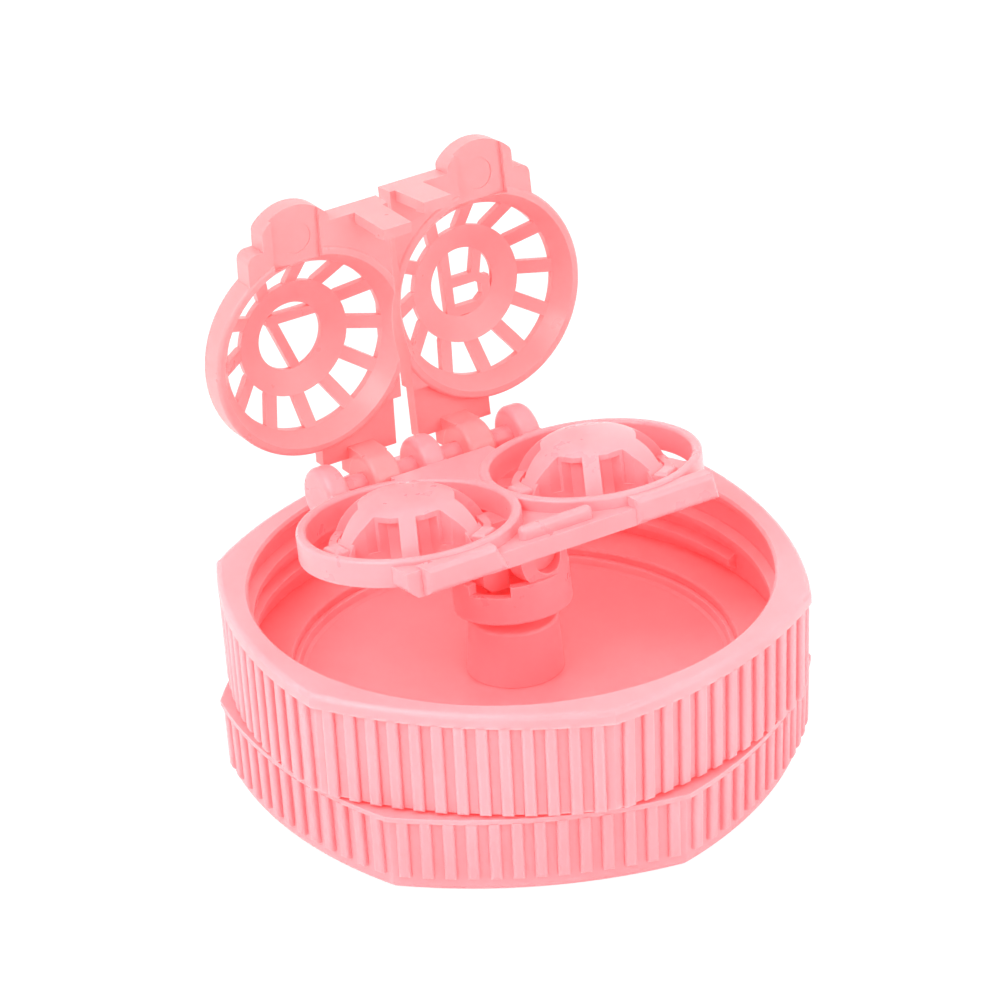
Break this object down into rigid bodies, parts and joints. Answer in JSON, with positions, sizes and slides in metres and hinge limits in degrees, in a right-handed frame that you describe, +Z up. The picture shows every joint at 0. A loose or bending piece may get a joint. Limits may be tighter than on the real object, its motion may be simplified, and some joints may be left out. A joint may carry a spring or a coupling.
{
  "type": "contact lens washing device",
  "caption": "Contact lens washing holder with two hinged lids, swivelling on the spindle of a ribbed screw cap and its turning knob.",
  "frame": {"origin": "on the resting plane, below the cap's axis", "axes": "+Z up along the cap's axis, +X along the lids' hinge, +Y towards the hinge side"},
  "size_m": [0.052, 0.0532, 0.051],
  "materials": {
    "cap_plastic": "satin moulded pink plastic",
    "knob_plastic": "satin moulded pink plastic",
    "holder_plastic": "satin moulded pink plastic",
    "lid_plastic": "satin moulded pink plastic",
    "pin_plastic": "smooth moulded pink plastic",
    "seal_rubber": "soft matte pink silicone",
    "screw_steel": "plain steel"
  },
  "bodies": {
    "cap": {"cap_ring": "cap_plastic", "seal_ring": "seal_rubber", "thrust_washer": "pin_plastic"},
    "knob": {"knob_shell": "knob_plastic", "knob_cover": "knob_plastic", "knob_screw": "screw_steel", "spindle": "knob_plastic", "shaft_seal": "seal_rubber", "lean_pin": "pin_plastic"},
    "collar": {"swivel_collar": "holder_plastic", "rock_pin": "pin_plastic"},
    "holder": {"holder_frame": "holder_plastic", "lens_cradle_left": "holder_plastic", "lens_cradle_right": "holder_plastic", "hinge_pin_left": "pin_plastic", "hinge_pin_right": "pin_plastic"},
    "lid_left": {"lid_left": "lid_plastic"},
    "lid_right": {"lid_right": "lid_plastic"}
  },
  "joints": [
    {"name": "knob_turn", "type": "hinge", "parent": "cap", "child": "knob", "pos_m": [0, 0, 0], "axis": [0, 0, 1], "continuous": true},
    {"name": "lean", "type": "hinge", "parent": "knob", "child": "collar", "pos_m": [0, 0, 0.01321], "axis": [1, 0, 0], "range_deg": [0, 15]},
    {"name": "rock", "type": "hinge", "parent": "collar", "child": "holder", "pos_m": [0.0013, 0.00052, 0.02071], "axis": [0, 0.9913, -0.1319], "range_deg": [-5, 5]},
    {"name": "lid_left_hinge", "type": "hinge", "parent": "holder", "child": "lid_left", "pos_m": [0, 0.01439, 0.0233], "axis": [1, 0, 0], "range_deg": [-12, 84]},
    {"name": "lid_right_hinge", "type": "hinge", "parent": "holder", "child": "lid_right", "pos_m": [0, 0.01439, 0.0233], "axis": [1, 0, 0], "range_deg": [-12, 89.5]}
  ]
}
